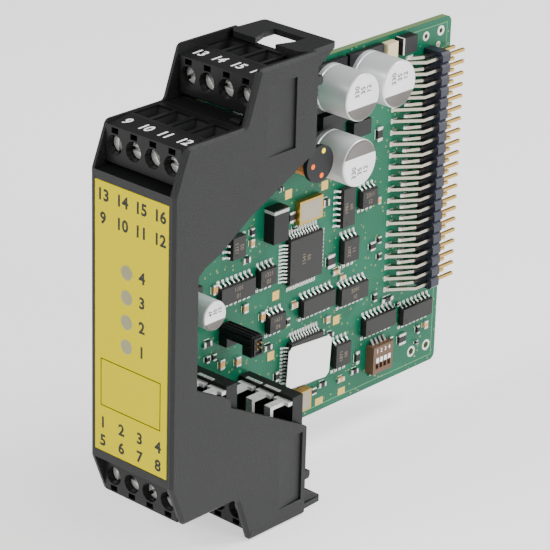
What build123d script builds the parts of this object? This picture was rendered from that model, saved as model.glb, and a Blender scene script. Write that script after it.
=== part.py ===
from build123d import *
import math
import os

# A plug-in safety control module: a stepped front cover with two rows of screw terminals at each end,
# a face label, and an upright circuit board with a two-row right-angle header at its rear edge.
# X runs across the module, Y rearwards from the label face, Z up. The origin is the middle of the face.

os.makedirs("parts", exist_ok=True)

# How far parts of one moulding run into each other, and how far a cutter passes its piece
overlap = 0.2
past = 1.0

# Cover: the stepped outline, seen from the side
module_width = 22.5
wall = 1.25
front_half = 30.1
tier_rise = 8.9
tier_slant = 3.5
tier_depth = 18.7
upper_rise = 10.5
upper_slant = 3.7
cover_depth = 38.4
rim_chamfer = 0.6
rim_round = 1.2
corner_round = 0.8

# Cover: the bay that shows the board, and the wings above and below it
bay_front = 6.6
bay_top = 12.4
bay_bottom = 11.0
bay_round = 0.7
sill_y = 8.4
sill_z = 13.9
elbow_y = 12.2
elbow_z = 15.4
knee_y = 20.3
knee_z = 20.7
wing_z = 29.4
step_y = 16.2
step_high = 15.9
step_low = 17.9
step_lean = 0.3

# Cover: front plate, tier floors, tongues and snap hooks
front_plate = 2.0
floor_thick = 1.2
floor_end = 15.4
tongue_length = 7.0
tongue_lead = 2.9
tongue_root_lead = 1.1
wall_bite = 0.4
tongue_thick = 1.2
tongue_taper = 0.4
tongue_inset = 0.2
tongue_front_inset = 1.4
notch_front_half = 2.6
notch_half = 4.0
notch_slant = 1.0
notch_length = 4.0
gusset_thick = 1.0
gusset_drop = 5.5
gusset_lead = 1.0
gusset_inset = 0.05
gusset_back = 0.6
gusset_edge = 0.1
hook_reach = 1.4
hook_height = 1.8
hook_bevel = 0.3
hook_lead = 0.7
hook_upper_z = 43.6
hook_lower_z = -40.6

# Cover: shallow wedge recesses in the outer side faces
upper_pocket_y = (24.5, 32.5)
upper_pocket_z = (31.6, 45.9)
lower_pocket_length = 6.7
lower_pocket_edge = 1.2
lower_pocket_z = (-45.5, -30.3)
pocket_depth = 0.45

# Face label and the lamp windows behind it
label_side_margin = 1.45
label_end_margin = 1.9
label_thick = 0.35
label_gap = 0.15
lamp_x = -1.2
lamp_top_z = 11.5
lamp_pitch = 5.1
lamp_count = 4
lamp_diameter = 3.0
lamp_hole_gap = 0.25

# Terminal blocks, as placed on the first tier
ways = 4
block_gap = 0.05
block_front = 2.75
block_lean = 0.2
block_base_gap = 0.1
block_lip = 0.9
block_lip_back = 1.5
block_face = 7.3
strip_rear = 8.85
block_top_drop = 0.05
strip_drop = 0.05
block_rear = 17.9
upper_row_y = 19.3
upper_row_z = 8.95
riser_thick = 3.0
riser_front = 16.5
riser_overlap = 3.8
riser_reach_lower = 16.2
riser_reach_upper = 8.2
riser_board_gap = 0.3
riser_side_gap = 0.4

# Clamp mechanism in each way
screw_z = 4.5
screw_hole = 3.9
screw_clearance = 0.1
head_recess = 1.65
head_length = 1.7
slot_width = 0.75
slot_depth = 0.8
shank_diameter = 2.5
shank_clearance = 0.05
shoulder = 0.7
clamp_travel = 2.4
seat_facets = 12
head_facets = 12
shank_facets = 8
cage_facets = 8
tooling_facets = 8
cage_width = 3.5
cage_height = 4.2
cage_side = 0.5
cage_front_wall = 1.5
cage_rear_wall = 0.9
wire_space = 3.0
cavity_width = 3.9
cage_gap = 0.3
bar_width = 2.3
bar_thick = 0.8
bar_gap = 0.2
bar_root = 0.5
bar_top_gap = 0.05
tip_gap = 0.1
arm_width = 1.7
arm_rise = 1.6
side_arm_width = 1.2
side_arm_shift = 0.6
foot_width = 4.0
foot_depth = 1.2
pin_size = 0.8
riser_pin_count = 2
riser_pin_pitch = 4.0
riser_pin_rise = 1.2
riser_pin_inset = 1.1

# Wire funnel and test point in each way
funnel_width = 4.1
funnel_front = 9.7
funnel_rear = 16.3
funnel_straight = 0.5
throat_width = 2.7
test_width = 1.8
test_height = 1.15
test_depth = 2.6
test_rise = 2.8

# Circuit board; its holes are given from its rear edge
board_inset = 5.75
board_thick = 1.6
board_half = 39.6
board_rear = 98.7
board_corner = 1.5
board_front = 5.0
nose_gap = 0.3
shoulder_y = 19.2
shoulder_gap = 0.55
shoulder_end = 40.2
tooling_holes = ((8.1, 36.6, 1.1), (3.3, 36.8, 1.1), (8.0, -35.5, 1.6), (3.0, -35.5, 1.6))

# Header at the rear edge; the posts' bends and feet are given from the front of the housing
header_pitch = 2.54
header_ways = 21
header_top_z = 33.0
header_inner_rise = 1.46
header_inset = 8.7
header_depth = 2.54
header_lobe = 0.55
header_board_gap = 0.19
post_size = 0.64
post_reach = 8.3
post_gap = 0.02
outer_bend = 4.0
outer_foot = (9.6, 7.4)
inner_bend = 1.8
inner_foot = (5.4, 3.4)

# Board components: (y, z) of the middle, sizes along y and z, and height off the board
solder_gap = 0.05
large_can_diameter = 10.0
large_can_height = 10.2
small_can_diameter = 6.3
small_can_height = 7.7
large_cans = ((59.45, 33.4), (70.6, 33.5), (59.3, 19.5))
small_can = (20.8, -2.8)
can_base_extra = 0.3
can_base_share = 0.09
can_base_least = 0.3
can_base_corner = 0.14
can_seat_gap = 0.02
choke_place = (49.7, 21.3)
choke_diameter = 7.8
choke_height = 8.0
choke_flange = 1.0
choke_winding = 6.6
small_outline_height = 1.6
small_outline_width = 3.9
small_outline_span = 6.0
wide_outline_width = 5.3
wide_outline_span = 8.0
lead_pitch = 1.27
lead_width = 0.42
lead_thick = 0.2
lead_gap = 0.01
lead_rise = 0.7
package_stand = 0.1
package_draft = 10
package_end = 0.2
flat_pack_size = 10.0
flat_pack_span = 13.2
flat_pack_height = 1.5
flat_pack_lead_rise = 0.65
flat_pack_pitch = 0.8
flat_pack_lead = 0.35
flat_pack_side_leads = 11
flat_packs = ((53.9, -2.1), (55.1, -25.3))
upright = True
level = False
small_outlines = (
    (33.85, -3.6, 8, level),
    (42.6, -3.1, 4, level),
    (33.8, 6.0, 4, upright),
    (66.5, 5.5, 7, upright),
    (73.1, 5.7, 4, level),
    (58.3, -13.6, 8, level),
    (69.4, -14.7, 7, level),
    (45.7, -14.1, 4, level),
    (78.3, -24.3, 8, level),
    (90.5, -25.5, 8, level),
)
wide_outlines = ((67.8, -4.5, 4, level), (66.5, -28.0, 4, level))
sticker_width = 13.2
sticker_height = 9.3
sticker_thick = 0.15
sticker_gap = 0.02
sticker_corner = 0.9
sticker_turn = -4.0
sticker_place = (55.5, -26.05)
crystals = ((55.0, 8.1, 7.0, 5.0, 1.4), (52.7, -34.4, 7.0, 4.6, 2.0))
power_parts = (
    (44.6, 8.0, 4.3, 7.3, 2.8),
    (78.0, 36.7, 3.2, 3.6, 1.8),
    (82.9, 37.0, 4.6, 3.6, 2.2),
    (60.3, 26.4, 7.0, 2.6, 2.2),
    (69.0, 22.3, 5.4, 3.4, 2.2),
)
plug_socket_size = (9.0, 3.0, 4.4)
plug_socket_place = (31.5, -12.2)
plug_socket_window = (4.2, 2.2)
plug_socket_base = 2.2
switch_place = (78.7, -32.4)
switch_size = 6.3
switch_height = 2.2
switch_ways = 4
switch_slot_width = 0.9
switch_slot_depth = 0.8
switch_slot_drop = 0.75
slider_size = (0.8, 1.1, 0.9)
slider_floor = 0.05
slider_travel = 1.4
lamp_body = 4.4
lamp_plate_gap = 0.3
lamp_leg = 0.5
lamp_leg_half = 0.9
lamp_facets = 12

# Small chip parts: (y, z), size along y, size along z
chip_height = 0.6
chip_gap = 0.02
chip_parts = (
    (28.3, -1.8, 1.25, 2.2), (38.8, 7.6, 1.0, 1.8), (38.8, 5.2, 1.0, 1.8), (37.2, 1.9, 2.0, 1.2),
    (37.3, -8.6, 1.25, 2.0), (26.4, -13.0, 2.2, 1.2), (26.5, -16.4, 0.9, 1.6), (28.4, -16.5, 0.9, 1.6),
    (30.7, -18.9, 1.3, 2.2), (35.4, -19.8, 1.3, 2.2), (42.4, -12.0, 1.25, 2.2), (50.0, -15.5, 0.9, 1.8),
    (44.2, -19.5, 2.2, 1.1), (47.2, -27.0, 1.1, 2.2), (47.0, 14.5, 0.9, 0.9), (50.4, 7.5, 1.6, 2.4),
    (60.6, 7.8, 1.8, 1.5), (62.8, -5.8, 2.2, 3.0), (76.6, 18.7, 1.6, 3.2), (77.4, 3.7, 0.9, 1.6),
    (64.5, -8.8, 2.0, 1.0), (75.9, -6.2, 1.6, 2.0), (78.0, -5.4, 1.0, 1.6), (78.3, -9.2, 1.0, 1.6),
    (51.9, -12.5, 2.0, 1.2), (66.6, -10.6, 1.8, 0.9), (62.4, -18.9, 1.2, 1.6), (63.3, -22.7, 2.0, 0.9),
    (77.3, -18.4, 1.0, 2.0), (81.4, -20.2, 3.6, 0.9), (85.0, -22.4, 0.7, 0.9), (87.0, -31.2, 2.2, 2.6),
    (92.3, -30.6, 0.8, 2.0), (94.9, -30.3, 1.2, 1.8), (92.1, -33.6, 0.8, 0.8), (83.3, -30.2, 0.9, 1.6),
    (72.4, -30.9, 1.1, 3.0), (58.7, -34.2, 1.4, 1.6), (61.4, -33.6, 2.2, 1.0), (67.3, -34.4, 2.0, 1.0),
    (71.6, -33.9, 2.2, 1.0), (51.4, 4.9, 0.9, 0.9),
)

# Sizes that follow from the ones above
half_width = module_width / 2
inner_half = half_width - wall
board_face_x = board_inset - half_width
way_pitch = 2 * inner_half / ways
label_width = module_width - 2 * label_side_margin
label_height = 2 * (front_half - label_end_margin)
tongue_end = cover_depth + tongue_length
tongue_front = cover_depth - tongue_lead
tongue_root = cover_depth - tongue_root_lead
notch_slant_end = cover_depth + notch_slant
notch_end = cover_depth + notch_length
gusset_front = cover_depth - gusset_lead
lower_pocket_rear = cover_depth - lower_pocket_edge
lower_pocket_y = (lower_pocket_rear - lower_pocket_length, lower_pocket_rear)
tier_z = front_half + tier_rise
top_z = tier_z + upper_rise
block_base_z = front_half + block_base_gap
block_top_z = tier_z - block_top_drop
screw_axis_z = block_base_z + screw_z
way_x = [(i - (ways - 1) / 2) * way_pitch for i in range(ways)]
head_front = block_front + head_recess
head_rear = head_front + head_length
cavity_front = head_rear + screw_clearance + shoulder
cage_front = cavity_front + cage_gap + clamp_travel
bar_front = cage_front + cage_front_wall + bar_gap
cage_rear = cage_front + cage_front_wall + bar_gap + bar_thick + wire_space + cage_rear_wall
cavity_rear = cage_rear + cage_gap
cage_low = screw_axis_z - cage_height / 2
cage_high = screw_axis_z + cage_height / 2
cavity_top = cage_high + cage_gap
board_back_x = board_face_x - board_thick
lamp_z = [lamp_top_z - i * lamp_pitch for i in range(lamp_count)]
header_front = board_rear - header_inset
post_tip = header_front + post_reach
post_outer_x = board_face_x + header_inner_rise + header_pitch
post_inner_x = board_face_x + header_inner_rise
post_z = [header_top_z - i * header_pitch for i in range(header_ways)]
can_places = [(place, large_can_diameter, large_can_height) for place in large_cans]
can_places.append((small_can, small_can_diameter, small_can_height))


def box(x0, x1, y0, y1, z0, z1):
    """A box between two corners."""
    return Pos((x0 + x1) / 2, (y0 + y1) / 2, (z0 + z1) / 2) * Box(x1 - x0, y1 - y0, z1 - z0)


def side_prism(points, x0, x1, radii=None):
    """An outline in the side view, given as (y, z) points, carried across from x0 to x1."""
    if radii:
        line = FilletPolyline(*points, radius=radii, close=True)
    else:
        line = Polyline(*points, close=True)
    return Pos(x0, 0, 0) * extrude(Plane.YZ * make_face(line), amount=x1 - x0, dir=(1, 0, 0))


def plan_prism(points, z0, z1):
    """An outline in the top view, given as (x, y) points, carried up from z0 to z1."""
    return Pos(0, 0, z0) * extrude(make_face(Polyline(*points, close=True)), amount=z1 - z0, dir=(0, 0, 1))


def facet_rod(x, z, y0, y1, diameter, facets):
    """A many-sided bar along Y, as wide as this over its corners."""
    face = Plane(origin=(x, y0, z), x_dir=(1, 0, 0), z_dir=(0, 1, 0)) * RegularPolygon(diameter / 2, facets)
    return extrude(face, amount=y1 - y0, dir=(0, 1, 0))


def facet_hole(x, z, y0, y1, diameter, facets):
    """A many-sided hole along Y, that a round bar of this diameter just fills."""
    return facet_rod(x, z, y0, y1, diameter / math.cos(math.pi / facets), facets)


def rod_x(y, z, x0, x1, diameter):
    """A round bar along X."""
    return Pos((x0 + x1) / 2, y, z) * Rot(0, 90, 0) * Cylinder(diameter / 2, x1 - x0)


def on_board(y, z, size_y, size_z, rise, height):
    """A box that stands on the board's component face, with a gap of rise under it."""
    foot = board_face_x + rise
    return box(foot, board_face_x + height, y - size_y / 2, y + size_y / 2, z - size_z / 2, z + size_z / 2)


def upside_down(shape):
    """The same piece for the lower half of the module."""
    return mirror(shape, Plane.XY)


def group(pieces):
    """Separate solids that share one node."""
    return Compound(children=list(pieces))


def wall_outline():
    """The side wall's outline and the radius of each of its corners."""
    corners = [
        ((0, -front_half), rim_round),
        ((tier_slant, -tier_z), rim_round),
        ((tier_depth, -tier_z), rim_round),
        ((tier_depth + upper_slant, -top_z), rim_round),
        ((cover_depth, -top_z), 0),
        ((cover_depth, -wing_z), corner_round),
        ((step_y, -step_low), 0),
        ((step_y - step_lean, -step_high), 0),
        ((bay_front, -bay_bottom), bay_round),
        ((bay_front, bay_top), bay_round),
        ((sill_y, sill_z), 0),
        ((elbow_y, elbow_z), 0),
        ((knee_y, knee_z), 0),
        ((cover_depth, wing_z), corner_round),
        ((cover_depth, top_z), 0),
        ((tier_depth + upper_slant, top_z), rim_round),
        ((tier_depth, tier_z), rim_round),
        ((tier_slant, tier_z), rim_round),
        ((0, front_half), rim_round),
    ]
    return [c[0] for c in corners], [c[1] for c in corners]


def on_rim(edge):
    """True for an outer edge of the wall along its front, its tiers, its top or its bottom."""
    p = edge @ 0.5
    sloped_front = p.Y < tier_slant + 0.2
    tiers = p.Y < tier_depth + upper_slant + 0.2 and abs(p.Z) > front_half
    ends = abs(p.Z) > top_z - 0.3
    return sloped_front or tiers or ends


def side_wall():
    """The wall on the +X side, with its chamfered rim, wedge recesses and snap hooks."""
    points, radii = wall_outline()
    body = side_prism(points, inner_half, half_width, radii)
    rims = body.faces().sort_by(Axis.X)[-1].edges().filter_by(on_rim)
    body = chamfer(rims, rim_chamfer)
    for z in (hook_upper_z, hook_lower_z):
        half = hook_height / 2
        tip = cover_depth + hook_reach
        root = cover_depth - past
        hook = [(root, z - half), (tip - hook_bevel, z - half), (tip, z - half + hook_lead),
                (tip, z + half - hook_bevel), (tip - hook_bevel, z + half), (root, z + half)]
        body += side_prism(hook, inner_half, half_width)
    for (y0, y1), (z0, z1) in ((upper_pocket_y, upper_pocket_z), (lower_pocket_y, lower_pocket_z)):
        wedge = plan_prism([(half_width + past, y0), (half_width, y0), (half_width - pocket_depth, y1),
                            (half_width + past, y1)], z0, z1)
        body -= wedge
    return body


def tongue():
    """The plate behind the upper tier, with its notch and two gussets."""
    low = top_z - tongue_thick
    side = inner_half - tongue_inset
    tip = side - tongue_taper
    root = inner_half + wall_bite
    leaves = cover_depth - wall_bite
    half = [(side - tongue_front_inset, tongue_front), (root, tongue_root), (root, leaves), (side, leaves),
            (tip, tongue_end)]
    plate = plan_prism(half + [(-x, y) for x, y in reversed(half)], low, top_z)
    plate = fillet(plate.edges().filter_by(Axis.Z).sort_by(Axis.Y)[-2:], corner_round)
    notch = [(notch_front_half, tongue_front - past), (notch_front_half, tongue_front),
             (notch_half, notch_slant_end), (notch_half, notch_end)]
    plate -= plan_prism(notch + [(-x, y) for x, y in reversed(notch)], low - past, top_z + past)
    high = low + overlap
    foot = top_z - gusset_drop
    back = tongue_end - gusset_back
    gusset = [(gusset_front, high), (back, high), (back, low - gusset_edge), (cover_depth, foot),
              (gusset_front, foot)]
    web = [(gusset_front, high), (cover_depth, high), (cover_depth, foot), (gusset_front, foot)]
    outer = tip - gusset_inset
    for piece in (side_prism(gusset, outer - gusset_thick, outer), side_prism(web, outer, inner_half + overlap)):
        plate += piece
        plate += mirror(piece, Plane.YZ)
    return plate


def tier_floor():
    """The floor under the first tier's block, with a slot for each contact arm."""
    top = front_half
    side = inner_half + overlap
    shelf = box(-side, side, front_plate - overlap, floor_end, top - floor_thick, top)
    slot_half = bar_width / 2 + cage_gap
    for x in way_x:
        shelf -= box(x - slot_half, x + slot_half, bar_front - cage_gap, floor_end + past,
                     top - floor_thick - past, top + past)
    return shelf


def front_cover():
    right = side_wall()
    cover = right + mirror(right, Plane.YZ)
    side = inner_half + overlap
    face = box(-side, side, 0, front_plate, -front_half, front_half)
    seat_x = label_width / 2 + label_gap
    seat_z = label_height / 2 + label_gap
    face -= box(-seat_x, seat_x, -past, label_thick, -seat_z, seat_z)
    slot_half = lamp_diameter / 2 + lamp_hole_gap
    face -= box(lamp_x - slot_half, lamp_x + slot_half, -past, front_plate + past, min(lamp_z) - slot_half,
                max(lamp_z) + slot_half)
    cover += face
    for piece in (tier_floor(), tongue()):
        cover += piece
        cover += upside_down(piece)
    return cover


def face_label():
    return box(-label_width / 2, label_width / 2, 0, label_thick, -label_height / 2, label_height / 2)


def funnel(x):
    """The wire entry of one way: a straight mouth that tapers down to the clamp."""
    top = block_top_z - funnel_straight
    low = cavity_top - overlap
    low_front = bar_front + bar_thick + bar_gap
    low_rear = cage_rear - cage_rear_wall
    half = funnel_width / 2
    throat = throat_width / 2
    mouth = box(x - half, x + half, funnel_front, funnel_rear, top, block_top_z + past)
    side_view = side_prism([(funnel_front, top), (funnel_rear, top), (low_rear, low), (low_front, low)],
                           x - half, x + half)
    front_outline = Polyline((x - half, 0, top), (x + half, 0, top), (x + throat, 0, low), (x - throat, 0, low),
                             close=True)
    front_view = extrude(make_face(front_outline), amount=cover_depth, dir=(0, 1, 0))
    return mouth + (side_view & front_view)


def terminal_block(riser_reach):
    """A four-way block on the upper first tier. riser_reach is how far its riser goes below its base."""
    half = inner_half - block_gap
    lip_z = block_base_z + block_lip
    ridge_z = lip_z + block_face
    profile = [(block_front + block_lip_back, block_base_z), (block_front + block_lip_back, lip_z),
               (block_front, lip_z), (block_front + block_lean, ridge_z), (strip_rear, block_top_z - strip_drop),
               (block_rear, block_top_z), (block_rear, block_base_z)]
    block = side_prism(profile, -half, half)
    block += box(board_face_x + riser_board_gap, inner_half - riser_side_gap, riser_front,
                 riser_front + riser_thick, block_base_z - riser_reach, block_base_z + riser_overlap)
    shank_half = shank_diameter / 2 + shank_clearance
    test_z = screw_axis_z + test_rise
    for x in way_x:
        block -= facet_hole(x, screw_axis_z, block_front - past, head_rear + screw_clearance, screw_hole,
                            seat_facets)
        block -= box(x - shank_half, x + shank_half, head_rear, cavity_front + overlap,
                     screw_axis_z - shank_half, screw_axis_z + shank_half)
        block -= box(x - cavity_width / 2, x + cavity_width / 2, cavity_front, cavity_rear,
                     block_base_z - past, cavity_top)
        block -= funnel(x)
        block -= box(x - test_width / 2, x + test_width / 2, block_front - past, block_front + test_depth,
                     test_z - test_height / 2, test_z + test_height / 2)
    return block


def terminal_screw(x, slot_turn):
    """A slotted clamp screw. slot_turn is how far its slot is turned, in degrees."""
    head = facet_rod(0, 0, 0, head_length, screw_hole - 2 * screw_clearance, head_facets)
    head -= box(-screw_hole, screw_hole, -past, slot_depth, -slot_width / 2, slot_width / 2)
    shank_end = bar_front - tip_gap - head_front
    shank = facet_rod(0, 0, head_length - overlap, shank_end, shank_diameter, shank_facets)
    screw = Rot(0, slot_turn, 0) * head + shank
    return Pos(x, head_front, screw_axis_z) * screw


def clamp_cage(x):
    """The rising clamp of one way, open for a wire."""
    frame = box(x - cage_width / 2, x + cage_width / 2, cage_front, cage_rear, cage_low, cage_high)
    frame -= box(x - cage_width / 2 + cage_side, x + cage_width / 2 - cage_side, cage_front + cage_front_wall,
                 cage_rear - cage_rear_wall, cage_low - past, cage_high + past)
    frame -= facet_hole(x, screw_axis_z, cage_front - past, cage_front + cage_front_wall + overlap,
                        shank_diameter + 2 * shank_clearance, cage_facets)
    return frame


def contact_bar(x, riser_reach):
    """The current bar of one way: down through its cage, then rearwards to a foot on the riser."""
    behind_board = x < board_face_x
    top = cavity_top - bar_top_gap
    arm_top = block_base_z - riser_reach + arm_rise
    arm_low = arm_top - bar_thick
    bar_rear = bar_front + bar_thick
    middle = x - side_arm_shift if behind_board else x
    half = (side_arm_width if behind_board else arm_width) / 2
    bar = box(x - bar_width / 2, x + bar_width / 2, bar_front, bar_rear, block_base_z - bar_root, top)
    bar += box(middle - half, middle + half, bar_front, bar_rear, arm_low, block_base_z)
    bar += box(middle - half, middle + half, bar_front, riser_front, arm_low, arm_top)
    if not behind_board:
        low = max(x - foot_width / 2, board_face_x + riser_board_gap)
        bar += box(low, x + foot_width / 2, riser_front - foot_depth, riser_front, arm_low, arm_top)
    return bar


def riser_pins(riser_reach):
    """The pins that join a riser to the board."""
    low = block_base_z - riser_reach + riser_pin_rise
    front = riser_front + riser_pin_inset
    pins = []
    for i in range(riser_pin_count):
        z = low + i * riser_pin_pitch
        pins.append(box(board_face_x, board_face_x + riser_board_gap, front, front + pin_size, z, z + pin_size))
    return pins


def circuit_board():
    nose = front_half - floor_thick - nose_gap
    neck = block_base_z + upper_row_z - shoulder_gap
    half = [(board_front, nose), (shoulder_y, nose), (shoulder_y, neck), (shoulder_end, neck),
            (shoulder_end, board_half), (board_rear, board_half)]
    points = half + [(y, -z) for y, z in reversed(half)]
    board = side_prism(points, board_back_x, board_face_x)
    corners = board.edges().filter_by(Axis.X).sort_by(Axis.Y)[-2:]
    board = fillet(corners, board_corner)
    for from_rear, z, diameter in tooling_holes:
        hole = Plane(origin=(board_back_x - past, board_rear - from_rear, z), x_dir=(0, 1, 0), z_dir=(1, 0, 0))
        board -= extrude(hole * RegularPolygon(diameter / 2, tooling_facets), amount=board_thick + 2 * past)
    return board


def header_housing():
    """The two-row housing, with a lobe for each pair of posts on its open side."""
    x0 = board_face_x + header_board_gap
    x1 = x0 + 2 * header_pitch
    top = post_z[0] + header_pitch / 2
    bottom = post_z[-1] - header_pitch / 2
    ring = [(x0, bottom), (x0, top), (x1 - header_lobe, top)]
    for z in post_z:
        half = header_pitch / 2
        ring += [(x1, z + half - header_lobe), (x1, z - half + header_lobe), (x1 - header_lobe, z - half)]
    face = make_face(Polyline(*[(x, header_front, z) for x, z in ring], close=True))
    body = extrude(face, amount=header_depth, dir=(0, 1, 0))
    hole = post_size / 2 + post_gap
    rear = header_front + header_depth
    holes = [box(x - hole, x + hole, header_front - past, rear + past, z - hole, z + hole)
             for z in post_z for x in (post_inner_x, post_outer_x)]
    return body - holes


def header_post(x, z, bend, foot):
    """A square post that bends down to a foot on the board."""
    half = post_size / 2
    bend_y = header_front - bend
    outline = [(x - half, post_tip), (x + half, post_tip), (x + half, bend_y),
               (board_face_x, header_front - foot[0]), (board_face_x, header_front - foot[1]),
               (x - half, bend_y + overlap)]
    return plan_prism(outline, z - half, z + half)


def can_capacitor(place, diameter, height):
    """The base and the can of a surface-mount electrolytic capacitor."""
    y, z = place
    base_height = height * can_base_share + can_base_least
    side = diameter + can_base_extra
    base = on_board(y, z, side, side, solder_gap, base_height)
    rear_corners = base.edges().filter_by(Axis.X).sort_by(Axis.Z)[:2]
    base = chamfer(rear_corners, diameter * can_base_corner)
    return base, rod_x(y, z, board_face_x + base_height + can_seat_gap, board_face_x + height, diameter)


def choke():
    """A drum choke: the foot and the lid of its core, and the winding between them."""
    y, z = choke_place
    start = board_face_x + solder_gap
    end = board_face_x + choke_height
    foot = rod_x(y, z, start, start + choke_flange, choke_diameter)
    lid = rod_x(y, z, end - choke_flange, end, choke_diameter)
    winding = rod_x(y, z, start + choke_flange + solder_gap, end - choke_flange - solder_gap, choke_winding)
    return group([foot, lid]), winding


def package(y, z, size_y, size_z, height):
    """A moulded chip body with drafted sides."""
    waist = (height + package_stand) / 2
    middle = Plane(origin=(board_face_x + waist, y, z), x_dir=(0, 1, 0), z_dir=(1, 0, 0))
    body = extrude(middle * Rectangle(size_y, size_z), amount=height - waist, taper=package_draft)
    under = Plane(origin=(board_face_x + waist, y, z), x_dir=(0, 1, 0), z_dir=(-1, 0, 0))
    return body + extrude(under * Rectangle(size_y, size_z), amount=waist - package_stand, taper=package_draft)


def lead(y, z, inner, outer, width, rise, upright_row):
    """One lead that slopes from the body to its foot. inner and outer are measured from the body's middle."""
    sign = 1 if outer > 0 else -1
    near = inner + sign * lead_gap
    profile = [(board_face_x, outer), (board_face_x + rise + lead_thick, near), (board_face_x + rise, near)]
    if upright_row:
        points = [(x, y + offset, z - width / 2) for x, offset in profile]
        direction = (0, 0, 1)
    else:
        points = [(x, y - width / 2, z + offset) for x, offset in profile]
        direction = (0, 1, 0)
    return extrude(make_face(Polyline(*points, close=True)), amount=width, dir=direction)


def lead_rows(y, z, count, pitch, width, body_half, span_half, rise, upright_rows):
    """Both rows of leads of a package. upright_rows puts them on its front and rear sides."""
    leads = []
    for i in range(count):
        step = (i - (count - 1) / 2) * pitch
        at_y, at_z = (y, z + step) if upright_rows else (y + step, z)
        for sign in (-1, 1):
            leads.append(lead(at_y, at_z, sign * body_half, sign * span_half, width, rise, upright_rows))
    return leads


def chips():
    bodies = []
    leads = []
    styles = ((small_outlines, small_outline_width, small_outline_span),
              (wide_outlines, wide_outline_width, wide_outline_span))
    for places, width, span in styles:
        for y, z, count, stands in places:
            length = count * lead_pitch - package_end
            size_y, size_z = (width, length) if stands else (length, width)
            bodies.append(package(y, z, size_y, size_z, small_outline_height))
            leads += lead_rows(y, z, count, lead_pitch, lead_width, width / 2, span / 2, lead_rise, stands)
    for y, z in flat_packs:
        bodies.append(package(y, z, flat_pack_size, flat_pack_size, flat_pack_height))
        for stands in (upright, level):
            leads += lead_rows(y, z, flat_pack_side_leads, flat_pack_pitch, flat_pack_lead, flat_pack_size / 2,
                               flat_pack_span / 2, flat_pack_lead_rise, stands)
    return bodies, leads


def board_sticker():
    y, z = sticker_place
    seat = Plane(origin=(board_face_x + flat_pack_height + sticker_gap, y, z), x_dir=(0, 1, 0), z_dir=(1, 0, 0))
    sheet = Rectangle(sticker_width, sticker_height)
    sheet = chamfer(sheet.vertices(), sticker_corner)
    return extrude(seat * Rot(0, 0, sticker_turn) * sheet, amount=sticker_thick)


def plug_socket():
    """The socket that stands on the board, open through its middle."""
    reach, depth, height = plug_socket_size
    y, z = plug_socket_place
    body = on_board(y, z, depth, height, solder_gap, reach)
    window_x, window_z = plug_socket_window
    x0 = board_face_x + plug_socket_base
    body -= box(x0, x0 + window_x, y - depth, y + depth, z - height / 2 - past, z - height / 2 + window_z)
    return body


def switch_parts():
    """The slide switch block and its sliders, each at the upper end of its slot."""
    y, z = switch_place
    body = on_board(y, z, switch_size, switch_size, solder_gap, switch_height)
    top = board_face_x + switch_height
    slide_y, slide_z, slide_x = slider_size
    length = slide_z + slider_travel + 2 * slider_floor
    slot_top = z - switch_slot_drop + length / 2
    floor_x = top - switch_slot_depth + slider_floor
    sliders = []
    for i in range(switch_ways):
        at = y + (i - (switch_ways - 1) / 2) * lead_pitch
        body -= box(top - switch_slot_depth, top + past, at - switch_slot_width / 2, at + switch_slot_width / 2,
                    slot_top - length, slot_top)
        high = slot_top - slider_floor
        sliders.append(box(floor_x, floor_x + slide_x, at - slide_y / 2, at + slide_y / 2, high - slide_z, high))
    return body, sliders


def indicator_lamp(z):
    """A lamp behind one of the label's windows, on two legs bent to the board."""
    dome_y = front_plate + lamp_plate_gap
    lamp = facet_rod(lamp_x, z, dome_y, dome_y + lamp_body, lamp_diameter, lamp_facets)
    leg_y = dome_y + lamp_body
    for leg_z in (z - lamp_leg_half, z + lamp_leg_half):
        lamp += box(board_face_x, lamp_x + lamp_leg / 2, leg_y, leg_y + lamp_leg, leg_z - lamp_leg / 2,
                    leg_z + lamp_leg / 2)
    return lamp


def rows():
    """The four terminal rows: name, placing move, whether it is a lower row, and its riser's reach."""
    shift = Pos(0, upper_row_y, upper_row_z)
    return (
        ("lower_front", Pos(0, 0, 0), True, riser_reach_lower, 1),
        ("upper_front", Pos(0, 0, 0), False, riser_reach_upper, 9),
        ("lower_rear", shift, True, riser_reach_lower, 5),
        ("upper_rear", shift, False, riser_reach_upper, 13),
    )


slot_turns = (90, 12, -38, 4, 62, 35, 8, 25, 90, 0, 55, 3, -35, 48, 5, 40)
nodes = {"front_cover": front_cover(), "face_label": face_label(), "circuit_board": circuit_board()}
bars = []
for name, move, low, reach, first in rows():
    turn_over = upside_down if low else (lambda shape: shape)
    nodes["terminal_block_" + name] = turn_over(move * terminal_block(reach))
    for i, x in enumerate(way_x):
        number = first + i
        nodes[f"terminal_screw_{number:02d}"] = turn_over(move * terminal_screw(x, slot_turns[number - 1]))
        nodes[f"clamp_cage_{number:02d}"] = turn_over(move * clamp_cage(x))
        bars.append(turn_over(move * contact_bar(x, reach)))
    bars += [turn_over(move * pin) for pin in riser_pins(reach)]
nodes["contact_bars"] = group(bars)

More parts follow.
